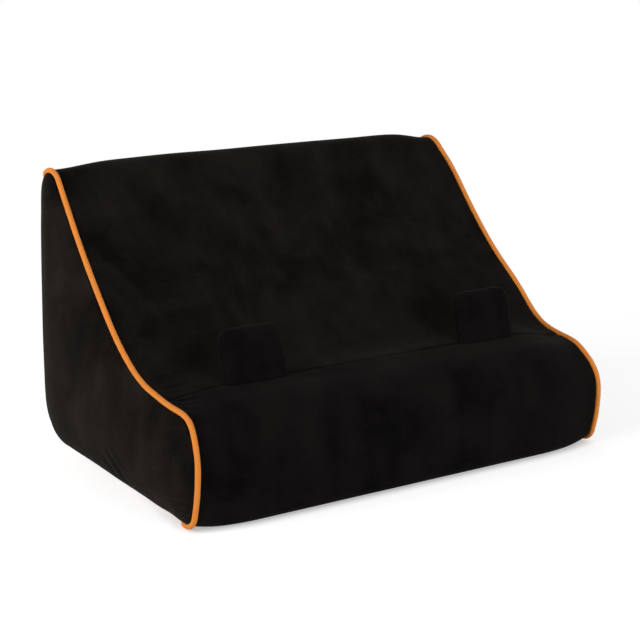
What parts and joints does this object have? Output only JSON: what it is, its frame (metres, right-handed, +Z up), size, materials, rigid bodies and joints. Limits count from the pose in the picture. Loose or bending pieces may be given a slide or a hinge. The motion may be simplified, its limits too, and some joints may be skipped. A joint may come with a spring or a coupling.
{
  "type": "tablet cushion stand",
  "caption": "Foam wedge in a sewn suede-like cover with piped side seams, a hollow slope, a shelf with padded tabs and a zip across the back.",
  "frame": {"origin": "on the floor, under the middle of the box round the whole stand", "axes": "+X to the right as seen from the front, +Y to the back, +Z up"},
  "size_m": [0.3068, 0.181, 0.1796],
  "materials": {
    "suede_cloth": "short-napped suede-like microfibre",
    "orange_piping": "woven cotton over cord",
    "foam": "open-cell foam",
    "zip_nylon": "matt nylon",
    "zip_metal": "black enamel"
  },
  "bodies": {
    "cushion": {"foam_core": "foam", "base_panel": "suede_cloth", "front_panel": "suede_cloth", "rest_panel": "suede_cloth", "lower_back_panel": "suede_cloth", "side_panel_left": "suede_cloth", "side_panel_right": "suede_cloth", "piping_left": "orange_piping", "piping_right": "orange_piping", "tab_left": "suede_cloth", "tab_right": "suede_cloth", "tab_left_insert": "foam", "tab_right_insert": "foam", "zip_tape_upper": "zip_nylon", "zip_tape_lower": "zip_nylon", "zip_coil_upper": "zip_nylon", "zip_coil_lower": "zip_nylon", "zip_stop_left": "zip_metal", "zip_stop_right": "zip_metal"},
    "slider": {"zip_slider": "zip_metal"},
    "pull": {"zip_pull": "zip_metal"}
  },
  "joints": [
    {"name": "zip_slide", "type": "slide", "parent": "cushion", "child": "slider", "axis": [-1, 0, 0], "range_m": [0, 0.2374]},
    {"name": "pull_swing", "type": "hinge", "parent": "slider", "child": "pull", "pos_m": [0.1187, 0.08895, 0.057], "axis": [0, 0, -1], "range_deg": [0, 180]}
  ]
}
